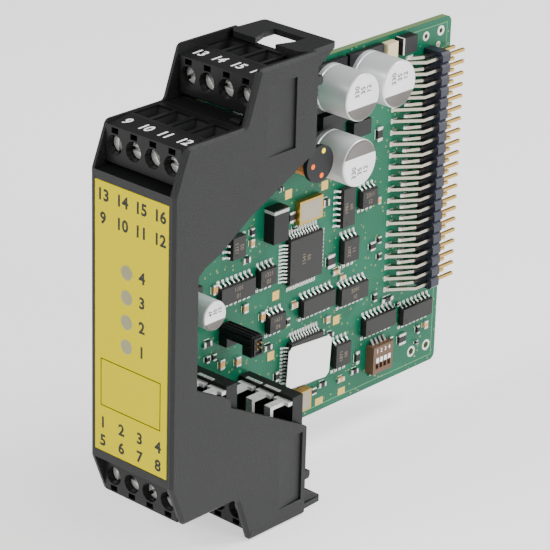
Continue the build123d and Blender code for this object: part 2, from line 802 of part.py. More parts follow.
nodes["header_housing"] = header_housing()
nodes["header_posts"] = group(
    [header_post(post_outer_x, z, outer_bend, outer_foot) for z in post_z]
    + [header_post(post_inner_x, z, inner_bend, inner_foot) for z in post_z]
)
cans = [can_capacitor(*item) for item in can_places]
nodes["capacitor_bases"] = group(base for base, can in cans)
nodes["capacitor_cans"] = group(can for base, can in cans)
nodes["choke_core"], nodes["choke_winding"] = choke()
chip_bodies, chip_leads = chips()
nodes["chip_packages"] = group(chip_bodies)
nodes["chip_leads"] = group(chip_leads)
nodes["chip_parts"] = group(on_board(y, z, sy, sz, chip_gap, chip_height) for y, z, sy, sz in chip_parts)
nodes["power_parts"] = group(on_board(y, z, sy, sz, solder_gap, h) for y, z, sy, sz, h in power_parts)
nodes["crystal_cans"] = group(on_board(y, z, sy, sz, solder_gap, h) for y, z, sy, sz, h in crystals)
nodes["board_sticker"] = board_sticker()
nodes["plug_socket"] = plug_socket()
nodes["switch_body"], switch_sliders = switch_parts()
for i, slider in enumerate(switch_sliders):
    nodes[f"switch_slider_{i + 1}"] = slider
nodes["indicator_lamps"] = group(indicator_lamp(z) for z in lamp_z)

for name, shape in nodes.items():
    export_step(shape, f"parts/{name}.step")
print(len(nodes), "nodes")
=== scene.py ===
import math

import bmesh
import bpy
from mathutils import Matrix, Vector


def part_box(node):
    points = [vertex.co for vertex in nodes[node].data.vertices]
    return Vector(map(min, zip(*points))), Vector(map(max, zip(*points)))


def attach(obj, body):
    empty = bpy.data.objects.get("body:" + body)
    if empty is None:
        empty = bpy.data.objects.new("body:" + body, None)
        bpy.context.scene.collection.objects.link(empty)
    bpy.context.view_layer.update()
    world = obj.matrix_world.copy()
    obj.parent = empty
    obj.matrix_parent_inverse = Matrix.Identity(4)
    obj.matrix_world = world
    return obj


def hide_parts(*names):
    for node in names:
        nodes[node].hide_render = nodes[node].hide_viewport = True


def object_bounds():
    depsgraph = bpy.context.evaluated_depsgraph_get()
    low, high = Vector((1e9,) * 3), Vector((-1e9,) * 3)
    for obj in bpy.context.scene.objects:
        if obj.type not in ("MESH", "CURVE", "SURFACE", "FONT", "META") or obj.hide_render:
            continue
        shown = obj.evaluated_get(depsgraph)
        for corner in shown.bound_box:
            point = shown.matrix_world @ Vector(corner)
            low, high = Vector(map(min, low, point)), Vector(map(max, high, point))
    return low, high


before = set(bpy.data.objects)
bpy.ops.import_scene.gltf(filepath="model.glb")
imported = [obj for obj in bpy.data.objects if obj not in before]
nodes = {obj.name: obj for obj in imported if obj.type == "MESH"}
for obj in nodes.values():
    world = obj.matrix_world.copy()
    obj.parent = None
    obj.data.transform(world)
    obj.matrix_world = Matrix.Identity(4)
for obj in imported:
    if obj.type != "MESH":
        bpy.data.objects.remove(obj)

# The CAD box, whose lowest point sets the floor's height
cad_box = [list(corner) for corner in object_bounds()]

MM = 0.001
BODY = "module"

# Sizes of the CAD model that the pieces below are placed by, in millimetres
BOARD_FACE = -5.5
BOARD_BACK = -7.1
BOARD_MIDDLE = (48.6, 0.0)
POST_TIPS = 92.0
STRIP_FRONT = (2.97, 38.3)
STRIP_REAR = (8.85, 38.9)
UPPER_ROW = (19.3, 8.95)
STRIP_HALF = 9.75
WAY_X = (-7.5, -2.5, 2.5, 7.5)
LABEL_X = (-7.6, -2.5, 2.5, 7.5)
LAMP_Z = (11.5, 6.4, 1.3, -3.8)
LAMP_X = -1.2
SCREW_RADIUS = 1.83
SCREW_HEAD = 1.7
SCREW_SLOT = (0.75, 0.8)
SLOT_TURNS = (90, 12, -38, 4, 62, 35, 8, 25, 90, 0, 55, 3, -35, 48, 5, 40)
LEDGE_FRONT, LEDGE_REAR, LEDGE_HALF = 17.95, 23.4, 9.95
LEDGE_Z = (38.62, 38.95)
LUG_LOW, LUG_HIGH, LUG_Z = (6.2, 19.4), (8.8, 21.2), (38.9, 39.5)
RISER_EDGES = ((16.45, -14.0), (35.75, -22.95))
FOOT_X = (-1.35, 3.7)
FOOT_SIZE = (4.1, 0.85, 0.14)
LEAD_TOP = 0.78
DOT_INSET = 1.05
WIRE_RADIUS = 0.19
SWITCH_WAYS = 4
SWITCH_PITCH = 1.27

# Places on the board, as y and z: bare gilt pads with their sizes, and plated holes with their radii
GILT_PADS = ((49.5, 12.6, 2.0, 2.0), (60.4, 11.6, 2.0, 2.0), (46.5, -8.7, 2.0, 2.0), (45.5, -21.9, 2.0, 2.0),
             (65.5, -20.1, 2.0, 2.0), (60.9, -37.4, 2.4, 1.6), (68.0, -37.4, 2.2, 1.6))
HOLE_RINGS = ((90.6, 36.6, 1.0), (95.4, 36.8, 1.1), (94.7, 33.9, 0.7), (90.7, -35.5, 1.25), (95.7, -35.5, 1.25))

# Each can's y and z, its dark segment's low and high edge from there, the height above which it lies,
# and its reach
CAN_MARKS = ((59.45, 33.4, -5.2, -1.9, 4.55, 5.4), (70.6, 33.5, -5.2, -1.9, 4.55, 5.4),
             (59.3, 19.5, 1.5, 5.2, 4.55, 5.4), (20.8, -2.8, -3.3, -1.1, 2.05, 3.4))

# Each can's y, z and end height, then its numbers' line step, height and shift along z, and the numbers
CAN_PRINTS = (
    (59.45, 33.4, 4.65, 1.755, 1.25, 1.5, ("330", "35", "12")),
    (70.6, 33.5, 4.65, 1.755, 1.25, 1.5, ("330", "35", "12")),
    (59.3, 19.5, 4.65, 1.755, 1.25, -1.7, ("330", "35", "12")),
    (20.8, -2.8, 2.15, 1.2825, 0.9, 0.9, ("47", "35", "12")),
)

# Chip parts with a tan body; the rest are black
TAN_PLACES = ((28.3, -1.8), (37.3, -8.6), (30.7, -18.9), (42.4, -12.0), (64.5, -8.8), (51.9, -12.5),
              (66.6, -10.6), (67.3, -34.4), (94.9, -30.3), (38.8, 5.2), (77.4, 3.7), (62.4, -18.9),
              (35.4, -19.8))

QUARTER = math.pi / 2
NO_TURN = (0, 0, 0)
FULL_SIZE = (1, 1, 1)

# Turns for flat numbers that face the component side, read rearwards or upwards
FACE_X = Matrix.Rotation(QUARTER, 4, "Z") @ Matrix.Rotation(QUARTER, 4, "X")
REARWARDS = FACE_X.to_euler()
UPWARDS = (FACE_X @ Matrix.Rotation(QUARTER, 4, "Z")).to_euler()

# Finishes, as linear colours
COVER_BLACK = (0.0085, 0.0088, 0.0090)
PART_BLACK = (0.0095, 0.0095, 0.0105)
YELLOW = (0.62, 0.52, 0.0)
PRINT_BLACK = (0.006, 0.006, 0.006)
PRINT_WHITE = (0.90, 0.90, 0.89)
WINDOW_OLIVE = (0.22, 0.21, 0.11)
BOARD_GREEN = (0.0, 0.098, 0.047)
TRACE_GREEN = (0.0, 0.132, 0.066)
GLASS_EDGE = (0.16, 0.24, 0.10)
GOLD = (0.70, 0.46, 0.13)
TIN = (0.74, 0.73, 0.69)
STEEL = (0.80, 0.79, 0.76)
ALUMINIUM = (0.90, 0.91, 0.92)
COPPER = (0.66, 0.24, 0.06)


class Value:
    """A number that varies over a surface. Arithmetic on it adds Math nodes."""

    def __init__(self, maker, socket):
        self.maker = maker
        self.socket = socket

    def calc(self, operation, *terms):
        return self.maker.node("ShaderNodeMath", {"operation": operation}, dict(enumerate(terms)))

    def __add__(self, other):
        return self.calc("ADD", self, other)

    def __sub__(self, other):
        return self.calc("SUBTRACT", self, other)

    def __rsub__(self, other):
        return self.calc("SUBTRACT", other, self)

    def __mul__(self, other):
        return self.calc("MULTIPLY", self, other)

    def __abs__(self):
        return self.calc("ABSOLUTE", self)

    __radd__ = __add__
    __rmul__ = __mul__

    def above(self, edge):
        return self.calc("GREATER_THAN", self, edge)

    def below(self, edge):
        return self.calc("LESS_THAN", self, edge)

    def largest(self, other):
        return self.calc("MAXIMUM", self, other)


class Finish:
    """A material on the object's own coordinates, in millimetres."""

    def __init__(self, name):
        self.material = bpy.data.materials.new(name)
        self.material.use_nodes = True
        self.tree = self.material.node_tree
        self.tree.nodes.clear()
        place = self.node("ShaderNodeTexCoord", {}, {}, "Object")
        self.place = self.node("ShaderNodeVectorMath", {"operation": "SCALE"}, {0: place, "Scale": 1000.0})
        split = self.node("ShaderNodeSeparateXYZ", {}, {0: self.place}).socket.node
        self.x, self.y, self.z = [Value(self, out) for out in split.outputs]

    def node(self, kind, settings, inputs, output=0):
        made = self.tree.nodes.new(kind)
        for key, value in settings.items():
            setattr(made, key, value)
        for key, value in inputs.items():
            socket = made.inputs[key]
            if isinstance(value, Value):
                self.tree.links.new(value.socket, socket)
            elif isinstance(value, tuple) and len(value) == 3 and socket.type == "RGBA":
                socket.default_value = (*value, 1.0)
            else:
                socket.default_value = value
        return None if output is None else Value(self, made.outputs[output])

    def mix(self, mask, low, high):
        """Colour low where mask is 0 and colour high where it is 1."""
        return self.node("ShaderNodeMix", {"data_type": "RGBA"}, {0: mask, 6: low, 7: high}, 2)

    def noise(self, scale, detail=2.0, place=None):
        return self.node("ShaderNodeTexNoise", {},
                         {"Vector": place or self.place, "Scale": scale, "Detail": detail})

    def stretched(self, x, y, z):
        """The object's coordinates, scaled along each axis."""
        return self.node("ShaderNodeVectorMath", {"operation": "MULTIPLY"}, {0: self.place, 1: (x, y, z)})

    def cells(self, scale, output="Distance", place=None):
        return self.node("ShaderNodeTexVoronoi", {}, {"Vector": place or self.place, "Scale": scale}, output)

    def rectangle(self, across, up, middle, size):
        """1 inside a rectangle on two of the object's coordinates."""
        return (abs(across - middle[0])).below(size[0] / 2) * (abs(up - middle[1])).below(size[1] / 2)

    def reach(self, across, up, middle):
        """The distance from a point, on two of the object's coordinates."""
        one = across - middle[0]
        two = up - middle[1]
        total = one * one + two * two
        return total.calc("SQRT", total)

    def done(self, colour, roughness, metallic=0.0, height=None, depth=0.02, coat=0.0, shine=0.5, glow=0.0):
        """Connects the surface. depth is the relief's depth in millimetres, and shine its mirror strength."""
        inputs = {"Base Color": colour, "Roughness": roughness, "Metallic": metallic,
                  "Specular IOR Level": shine}
        if height is not None:
            inputs["Normal"] = self.node("ShaderNodeBump", {},
                                         {"Height": height, "Distance": depth * MM, "Strength": 1.0})
        if glow:
            inputs["Emission Color"] = (1.0, 1.0, 1.0)
            inputs["Emission Strength"] = glow
        if coat:
            inputs["Coat Weight"] = coat
            inputs["Coat Roughness"] = 0.12
        shader = self.node("ShaderNodeBsdfPrincipled", {}, inputs)
        self.node("ShaderNodeOutputMaterial", {}, {"Surface": shader}, None)
        return self.material


def moulding(name, colour, roughness, grain=6.0, depth=0.025, shine=0.3):
    """A moulded plastic with a fine spark-eroded grain."""
    m = Finish(name)
    fine = m.noise(grain, 3.0)
    broad = m.noise(0.12, 2.0)
    tone = m.mix(broad, colour, tuple(c * 1.35 for c in colour))
    return m.done(tone, roughness + (fine - 0.5) * 0.16 + (broad - 0.5) * 0.10, 0.0, fine, depth, 0.0, shine)


def plated(name, colour, roughness, stretch=(0.4, 6.0, 6.0), patches=0.5, metal=1.0):
    """A plated metal, with drawing marks along one axis and faint patches."""
    m = Finish(name)
    marks = m.noise(2.0, 3.0, m.stretched(*stretch))
    cloud = m.noise(patches, 2.0)
    tone = m.mix(cloud, tuple(c * 0.72 for c in colour), colour)
    return m.done(tone, roughness + (marks - 0.5) * 0.2 + (cloud - 0.5) * 0.12, metal, marks, 0.008)


def label_finish():
    """Yellow film with a thin printed frame."""
    m = Finish("label_film")
    middle, width, height, line_width = (-0.08, -13.36), 16.1, 9.9, 0.24
    outside = m.rectangle(m.x, m.z, middle, (width + line_width, height + line_width))
    inside = m.rectangle(m.x, m.z, middle, (width - line_width, height - line_width))
    front = m.y.below(0.05)
    line = outside * (1.0 - inside) * front
    film = m.noise(1.2, 3.0)
    yellow = m.mix(film, tuple(c * 0.96 for c in YELLOW), YELLOW)
    tone = m.mix(line, yellow, (0.05, 0.045, 0.005))
    return m.done(tone, 0.6 + (film - 0.5) * 0.12, 0.0, film, 0.01, 0.0, 0.02)


def board_finish():
    """Green lacquer over copper tracks, with gilt pads, plated holes and glass-fibre edges."""
    m = Finish("board_lacquer")
    patch = m.node("ShaderNodeSeparateColor", {}, {0: m.cells(0.16, "Color")}).socket.node
    pick_way, pick_pour = Value(m, patch.outputs[0]), Value(m, patch.outputs[1])
    wander = m.noise(0.30, 1.0) * 1.2
    lanes_y, lanes_z = m.z * 1.5 + wander, m.y * 1.5 + wander
    along_y = lanes_y.calc("FRACT", lanes_y).below(0.45) * pick_way.above(0.55)
    along_z = lanes_z.calc("FRACT", lanes_z).below(0.45) * pick_way.below(0.40)
    pour = pick_pour.above(0.66)
    tracks = along_y.largest(along_z).largest(pour)
    drill = m.cells(0.62)
    ring = drill.below(0.17) * (1.0 - drill.below(0.09))
    pit = drill.below(0.09)
    gilt = None
    for y, z, width, height in GILT_PADS:
        pad = m.rectangle(m.y, m.z, (y, z), (width, height))
        gilt = pad if gilt is None else gilt.largest(pad)
    plating = None
    for y, z, radius in HOLE_RINGS:
        spot = m.reach(m.y, m.z, (y, z)).below(radius)
        plating = spot if plating is None else plating.largest(spot)
    face = m.x.above(BOARD_FACE - 0.02)
    skin = face.largest(m.x.below(BOARD_BACK + 0.02))
    border = m.rectangle(m.y, m.z, BOARD_MIDDLE, (97.8, 76.7)) * (
        1.0 - m.rectangle(m.y, m.z, BOARD_MIDDLE, (97.4, 76.3)))
    tone = m.mix(tracks * 0.55, BOARD_GREEN, TRACE_GREEN)
    tone = m.mix(border * 0.7, tone, (0.12, 0.36, 0.15))
    tone = m.mix(ring, tone, (0.22, 0.30, 0.12))
    tone = m.mix(pit, tone, (0.0, 0.035, 0.018))
    tone = m.mix(gilt * face, tone, GOLD)
    tone = m.mix(plating * skin, tone, TIN)
    tone = m.mix(skin, GLASS_EDGE, tone)
    speck = m.noise(3.0, 2.0)
    metal = (gilt * face).largest(plating * skin)
    height = tracks * 0.4 + ring * 0.3 - pit * 1.0 + gilt * 0.6
    return m.done(tone, 0.36 + (speck - 0.5) * 0.14 + (1.0 - skin) * 0.3, metal, height, 0.04, 0.06, 0.25)


def can_finish():
    """Drawn aluminium, with each can's dark polarity segment on its end."""
    m = Finish("can_aluminium")
    dark = None
    for y, z, low, high, top, radius in CAN_MARKS:
        mark = m.rectangle(m.y, m.z, (y, z + (low + high) / 2), (2 * radius, high - low)) * m.x.above(top)
        dark = mark if dark is None else dark.largest(mark)
    rings = m.noise(2.0, 2.0, m.stretched(5.0, 0.25, 0.25))
    cloud = m.noise(0.25, 2.0)
    tone = m.mix(cloud, tuple(c * 0.86 for c in ALUMINIUM), ALUMINIUM)
    # The ends lie above x = 4.5, and that of the small can, near the front, above x = 2
    end = m.x.above(4.5).largest(m.x.above(2.0) * m.y.below(30.0))
    tone = m.mix(end, tone, (0.93, 0.93, 0.94))
    tone = m.mix(dark, tone, (0.13, 0.12, 0.11))
    return m.done(tone, 0.34 + (rings - 0.5) * 0.16 + end * 0.12, 0.45 - end * 0.35, rings, 0.008)


def post_finish():
    """Gilt tips, and tinned tails that are soldered to the board."""
    m = Finish("post_gilt")
    gilt = m.y.above(POST_TIPS)
    marks = m.noise(2.0, 2.0, m.stretched(4.0, 0.5, 4.0))
    tone = m.mix(gilt, (0.44, 0.41, 0.33), (0.54, 0.34, 0.09))
    return m.done(tone, 0.28 + (marks - 0.5) * 0.16, 1.0, marks, 0.01)


def winding_finish():
    """Enamelled wire, wound side by side."""
    m = Finish("winding_wire")
    shade = m.noise(0.8, 2.0)
    scuff = m.noise(3.0, 2.0)
    tone = m.mix(shade, COPPER, (0.78, 0.40, 0.14))
    return m.done(tone, 0.32 + (scuff - 0.5) * 0.2, 0.85, scuff, 0.01)


def power_finish():
    """Black power parts, a cream ceramic one, and white polarity bars."""
    m = Finish("power_body")
    cream = m.rectangle(m.y, m.z, (78.0, 36.7), (3.6, 4.0))
    band = m.rectangle(m.y, m.z, (44.6, 11.0), (4.6, 0.7)).largest(
        m.rectangle(m.y, m.z, (80.95, 37.0), (0.5, 4.0)))
    grain = m.noise(5.0, 3.0)
    tone = m.mix(cream, PART_BLACK, (0.72, 0.60, 0.36))
    tone = m.mix(band, tone, (0.55, 0.55, 0.52))
    return m.done(tone, 0.45 + (grain - 0.5) * 0.2, 0.0, grain, 0.02, 0.0, 0.3)


def crystal_finish():
    """A gilt rim round a bright metal lid."""
    m = Finish("crystal_lid")
    lid = m.rectangle(m.y, m.z, (55.0, 8.1), (6.0, 4.0)).largest(
        m.rectangle(m.y, m.z, (52.7, -34.4), (6.3, 3.9)))
    scuff = m.noise(1.5, 3.0)
    tone = m.mix(lid, (0.50, 0.32, 0.07), (0.36, 0.32, 0.25))
    return m.done(tone, 0.36 + (scuff - 0.5) * 0.2, 0.8, lid * 0.4 + scuff * 0.1, 0.08)


def choke_finish():
    """Near-black ferrite with a fine grain."""
    m = Finish("choke_ferrite")
    grain = m.noise(7.0, 3.0)
    tone = m.mix(grain, (0.004, 0.004, 0.005), (0.016, 0.016, 0.018))
    return m.done(tone, 0.5 + (grain - 0.5) * 0.3, 0.0, grain, 0.02, 0.0, 0.3)


# Materials of the CAD nodes that stay
black_cover = moulding("cover_moulding", COVER_BLACK, 0.46, 3.8, 0.10, 0.3)
black_block = moulding("block_moulding", (0.0065, 0.0066, 0.0070), 0.40, 5.0, 0.015, 0.22)
black_gloss = moulding("strip_gloss", (0.004, 0.004, 0.0045), 0.22, 2.0, 0.006, 0.22)
black_package = moulding("package_moulding", (0.0135, 0.0130, 0.0125), 0.45, 8.0, 0.02, 0.35)
black_plain = moulding("plain_moulding", PART_BLACK, 0.40, 6.0, 0.02)
header_navy = moulding("header_moulding", (0.016, 0.017, 0.030), 0.35, 6.0, 0.02, 0.4)
switch_brown = moulding("switch_moulding", (0.115, 0.062, 0.036), 0.42, 5.0, 0.015)
slider_white = moulding("slider_moulding", (0.85, 0.85, 0.82), 0.40, 5.0, 0.01)
lamp_clear = moulding("lamp_resin", (0.45, 0.45, 0.42), 0.18, 3.0, 0.004, 0.5)
paper = moulding("sticker_paper", (0.88, 0.88, 0.87), 0.60, 4.0, 0.02)
print_black = moulding("label_ink", PRINT_BLACK, 0.45, 5.0, 0.004)
print_white = moulding("strip_ink", PRINT_WHITE, 0.45, 5.0, 0.004)
board_print = moulding("board_print", (0.62, 0.66, 0.58), 0.6, 5.0, 0.003)
print_brown = moulding("package_ink", (0.15, 0.12, 0.085), 0.5, 5.0, 0.003)
window_film = moulding("window_film", WINDOW_OLIVE, 0.35, 2.0, 0.006)
window_edge = moulding("window_edge", (0.42, 0.36, 0.04), 0.40, 2.0, 0.006)
steel = plated("screw_plate", STEEL, 0.38, (4.0, 0.4, 4.0), 0.5, 0.6)
cage_steel = plated("cage_plate", (0.60, 0.60, 0.58), 0.34)
tin = plated("tin_plate", TIN, 0.28, (1.0, 1.0, 1.0), 0.8, 0.85)
gilt_lead = plated("gilt_lead", (0.72, 0.50, 0.18), 0.30, (1.0, 1.0, 1.0), 0.8, 0.85)
bright_tin = plated("bright_tin", (0.86, 0.86, 0.84), 0.26, (1.0, 1.0, 1.0), 0.8, 0.6)
solder = plated("solder", (0.80, 0.79, 0.76), 0.26, (1.0, 1.0, 1.0), 1.6, 0.8)
tan_ceramic = moulding("tan_ceramic", (0.52, 0.30, 0.11), 0.45, 4.0, 0.01)
black_ceramic = moulding("black_ceramic", (0.008, 0.008, 0.009), 0.35, 4.0, 0.01)
dot_yellow = moulding("dot_yellow", (0.95, 0.80, 0.0), 0.4, 4.0, 0.01, 0.05)
dot_orange = moulding("dot_orange", (0.95, 0.15, 0.0), 0.4, 4.0, 0.01, 0.05)
can_ink = moulding("can_ink", (0.05, 0.05, 0.055), 0.5, 4.0, 0.003)
contact_metal = plated("contact_metal", (0.88, 0.88, 0.86), 0.3, (1.0, 1.0, 1.0), 0.8, 0.3)

finishes = {
    "front_cover": black_cover,
    "face_label": label_finish(),
    "circuit_board": board_finish(),
    "contact_bars": contact_metal,
    "header_housing": header_navy,
    "header_posts": post_finish(),
    "capacitor_bases": black_plain,
    "capacitor_cans": can_finish(),
    "choke_core": choke_finish(),
    "choke_winding": winding_finish(),
    "chip_packages": black_package,
    "chip_leads": tin,
    "power_parts": power_finish(),
    "crystal_cans": crystal_finish(),
    "board_sticker": paper,
    "plug_socket": black_plain,
    "switch_body": switch_brown,
    "indicator_lamps": lamp_clear,
}
for name, node in nodes.items():
    if name.startswith("terminal_block"):
        finish = black_block
    elif name.startswith("terminal_screw"):
        finish = steel
    elif name.startswith("clamp_cage"):
        finish = cage_steel
    elif name.startswith("switch_slider"):
        finish = slider_white
    else:
        finish = finishes.get(name, black_plain)
    for place in node.material_slots:
        place.material = finish


def only(*objects):
    """Selects these objects and no others."""
    bpy.ops.object.select_all(action="DESELECT")
    for o in objects:
        o.select_set(True)
    bpy.context.view_layer.objects.active = objects[0]


def settle(o):
    """Puts a piece's place into its mesh."""
    only(o)
    bpy.ops.object.transform_apply(location=True, rotation=True, scale=True)


def block(name, low, high):
    """A box between two corners in millimetres, to be shaped further."""
    bpy.ops.object.select_all(action="DESELECT")
    middle = [(a + b) / 2 * MM for a, b in zip(low, high)]
    bpy.ops.mesh.primitive_cube_add(size=1, location=middle)
    o = bpy.context.object
    o.name = name
    o.scale = [(b - a) * MM for a, b in zip(low, high)]
    settle(o)
    return o


def disc(name, middle, radius, height, axis, sides=24):
    """A short cylinder along X or Y, from middle onwards, in millimetres."""
    bpy.ops.object.select_all(action="DESELECT")
    turn = (0, QUARTER, 0) if axis == "X" else (-QUARTER, 0, 0)
    way = Vector((1, 0, 0)) if axis == "X" else Vector((0, 1, 0))
    place = (Vector(middle) + way * height / 2) * MM
    bpy.ops.mesh.primitive_cylinder_add(vertices=sides, radius=radius * MM, depth=abs(height) * MM,
                                        location=place, rotation=turn)
    o = bpy.context.object
    o.name = name
    settle(o)
    return o


def shape(o, kind, wanted, *steps):
    """Selects the faces, edges or corners of o that are wanted, and runs the steps on them in edit mode."""
    only(o)
    parts = {"FACE": o.data.polygons, "EDGE": o.data.edges, "VERT": o.data.vertices}
    bpy.ops.object.mode_set(mode="EDIT")
    bpy.ops.mesh.select_mode(type=kind)
    bpy.ops.mesh.select_all(action="DESELECT")
    bpy.ops.object.mode_set(mode="OBJECT")
    for part in parts[kind]:
        part.select = wanted(part)
    bpy.ops.object.mode_set(mode="EDIT")
    for step in steps:
        step()
    bpy.ops.object.mode_set(mode="OBJECT")


def inset(amount, sink=0.0):
    """An inset of the chosen faces, in millimetres."""
    return lambda: bpy.ops.mesh.inset(thickness=amount * MM, depth=-sink * MM)


def drawn_out(move, size=1.0, middle=(0, 0, 0)):
    """An extrusion of the chosen faces, in millimetres, whose outline is then scaled about an axis along X."""
    def step():
        bpy.ops.mesh.extrude_region_move(TRANSFORM_OT_translate={"value": [m * MM for m in move]})
        if size != 1.0:
            bpy.ops.transform.resize(value=(1, size, size), center_override=[m * MM for m in middle])
    return step


def facing(axis, sign=1):
    """True for faces that look along an axis."""
    return lambda face: face.normal[axis] * sign > 0.9


def soften(o, width, segments=2):
    """Rounds the sharp edges."""
    only(o)
    modifier = o.modifiers.new("soft", "BEVEL")
    modifier.width = width * MM
    modifier.segments = segments
    modifier.limit_method = "ANGLE"
    modifier.angle_limit = math.radians(40)
    bpy.ops.object.modifier_apply(modifier="soft")
    return o


def carved(o, tool):
    """Cuts a tool's shape out of a piece."""
    only(o)
    modifier = o.modifiers.new("cut", "BOOLEAN")
    modifier.operation = "DIFFERENCE"
    modifier.object = tool
    modifier.solver = "EXACT"
    bpy.ops.object.modifier_apply(modifier="cut")
    bpy.data.objects.remove(tool)
    return o


def copied(model, places):
    """Copies of a model, each with its own mesh, at (move, turn, size), with the move in millimetres.

    The model itself is removed.
    """
    made = []
    for move, turn, size in places:
        twin = model.copy()
        twin.data = model.data.copy()
        bpy.context.collection.objects.link(twin)
        twin.location = [m * MM for m in move]
        twin.rotation_euler = turn
        twin.scale = size
        made.append(twin)
    only(*made)
    bpy.ops.object.transform_apply(location=True, rotation=True, scale=True)
    bpy.data.objects.remove(model)
    return made


def joined(name, made):
    """One piece out of several."""
    only(*made)
    if len(made) > 1:
        bpy.ops.object.join()
    o = bpy.context.object
    o.name = name
    return o


def dressed(o, material, smooth=None):
    """Gives a new piece its material and its body."""
    o.data.materials.clear()
    o.data.materials.append(material)
    if smooth:
        only(o)
        bpy.ops.object.shade_smooth_by_angle(angle=math.radians(smooth))
    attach(o, BODY)
    return o


def islands(name):
    """Each separate solid of a CAD node: its lowest corner, its highest corner and the middle of its foot."""
    mesh = bmesh.new()
    mesh.from_mesh(nodes[name].data)
    bmesh.ops.remove_doubles(mesh, verts=mesh.verts, dist=1e-7)
    seen = set()
    found = []
    for start in mesh.verts:
        if start in seen:
            continue
        stack, own = [start], []
        seen.add(start)
        while stack:
            vertex = stack.pop()
            own.append(vertex.co / MM)
            for edge in vertex.link_edges:
                other = edge.other_vert(vertex)
                if other not in seen:
                    seen.add(other)
                    stack.append(other)
        low = [min(v[i] for v in own) for i in range(3)]
        high = [max(v[i] for v in own) for i in range(3)]
        base = [v for v in own if v[0] < low[0] + 0.01]
        found.append((low, high, [sum(v[i] for v in base) / len(base) for i in range(3)]))
    mesh.free()
    return sorted(found)


def words(text, height, slant=0.0, weight=0.0, thick=0.02):
    """A plain number as a thin mesh, centred on the origin and facing +Z, in millimetres high."""
    bpy.ops.object.select_all(action="DESELECT")
    bpy.ops.object.text_add(location=(0, 0, 0))
    o = bpy.context.object
    o.data.body = text
    o.data.align_x = "CENTER"
    o.data.align_y = "CENTER"
    o.data.size = height / 0.72 * MM
    o.data.shear = slant
    o.data.offset = weight * MM
    o.data.extrude = thick / 2 * MM
    o.data.resolution_u = 4
    only(o)
    bpy.ops.object.convert(target="MESH")
    return bpy.context.object


def written(items, height, turn, slant=0.0, weight=0.0, squeeze=1.0):
    """Numbers at their places, as a list of pieces."""
    made = []
    for text, place in items:
        o = words(text, height, slant, weight)
        o.scale = (squeeze, 1, 1)
        o.rotation_euler = turn
        o.location = [p * MM for p in place]
        settle(o)
        made.append(o)
    return made


# The label's numbers and lamp windows
label_items = []
for first, z in ((13, 25.4), (9, 20.7), (1, -22.1), (5, -26.0)):
    label_items += [(str(first + i), (x, -0.005, z)) for i, x in enumerate(LABEL_X)]
label_items += [(str(4 - i), (2.9, -0.005, z)) for i, z in enumerate(LAMP_Z)]
label_numbers = joined("label_numbers", written(label_items, 2.35, (QUARTER, 0, 0), 0.0, 0.11))
dressed(label_numbers, print_black)

rims = []
lenses = []
for z in LAMP_Z:
    rim = disc("window_rim", (LAMP_X, -0.03, z), 1.62, 0.06, "Y", 32)
    shape(rim, "FACE", facing(1, -1), inset(0.18), inset(0.02, 0.02))
    rims.append(rim)
    lens = disc("window_lens", (LAMP_X, -0.045, z), 1.42, 0.06, "Y", 32)
    shape(lens, "FACE", facing(1, -1), inset(0.25, -0.01))
    lenses.append(lens)
dressed(joined("window_rims", rims), window_edge)
dressed(joined("window_lenses", lenses), window_film, 40)

# A number strip on each terminal block
rise = math.atan2(STRIP_REAR[1] - STRIP_FRONT[1], STRIP_REAR[0] - STRIP_FRONT[0])
strip_length = math.hypot(STRIP_REAR[1] - STRIP_FRONT[1], STRIP_REAR[0] - STRIP_FRONT[0])
strips = []
strip_items = []
for dy, dz, first in ((0.0, 0.0, 9), (*UPPER_ROW, 13)):
    middle_y = (STRIP_FRONT[0] + STRIP_REAR[0]) / 2 + dy
    middle_z = (STRIP_FRONT[1] + STRIP_REAR[1]) / 2 + dz
    for lower in (False, True):
        strip = block("number_strip", (-STRIP_HALF, 0.25 - strip_length / 2, -0.05),
                      (STRIP_HALF, strip_length / 2 - 0.25, 0.1))
        shape(strip, "FACE", facing(2), inset(0.18, 0.03))
        soften(strip, 0.03)
        strip.rotation_euler = (math.pi - rise if lower else rise, 0, 0)
        strip.location = (0, middle_y * MM, (-middle_z if lower else middle_z) * MM)
        settle(strip)
        strips.append(strip)
        start = first - 8 if lower else first
        for i, x in enumerate(WAY_X):
            strip_items.append((str(start + i), x, middle_y + 0.1, middle_z + 0.085, lower))
dressed(joined("number_strips", strips), black_gloss)
strip_numbers = []
for text, x, y, z, lower in strip_items:
    turn = (math.pi - rise if lower else rise, 0, 0)
    strip_numbers += written([(text, (x, y, -z if lower else z))], 2.3, turn, 0.14, 0.085, 0.95)
dressed(joined("strip_numbers", strip_numbers), print_white)

# Chip parts with their ends, in place of the plain boxes

def chip_part(name, low, high, share=0.24):
    """A chip part's body between its two plated ends, and the ends."""
    along = 2 if high[2] - low[2] > high[1] - low[1] else 1
    length = high[along] - low[along]
    cut_low = list(low)
    cut_high = list(high)
    cut_low[along] = low[along] + length * share * 0.8
    cut_high[along] = high[along] - length * share * 0.8
    cut_high[0] = high[0] - 0.05
    body = block(name, cut_low, cut_high)
    shape(body, "FACE", facing(0), inset(0.08, -0.02))
    ends = []
    for side in (0, 1):
        end_low, end_high = list(low), list(high)
        if side:
            end_low[along] = high[along] - length * share
        else:
            end_high[along] = low[along] + length * share
        ends.append(soften(block(name + "_end", end_low, end_high), 0.07))
    return body, ends


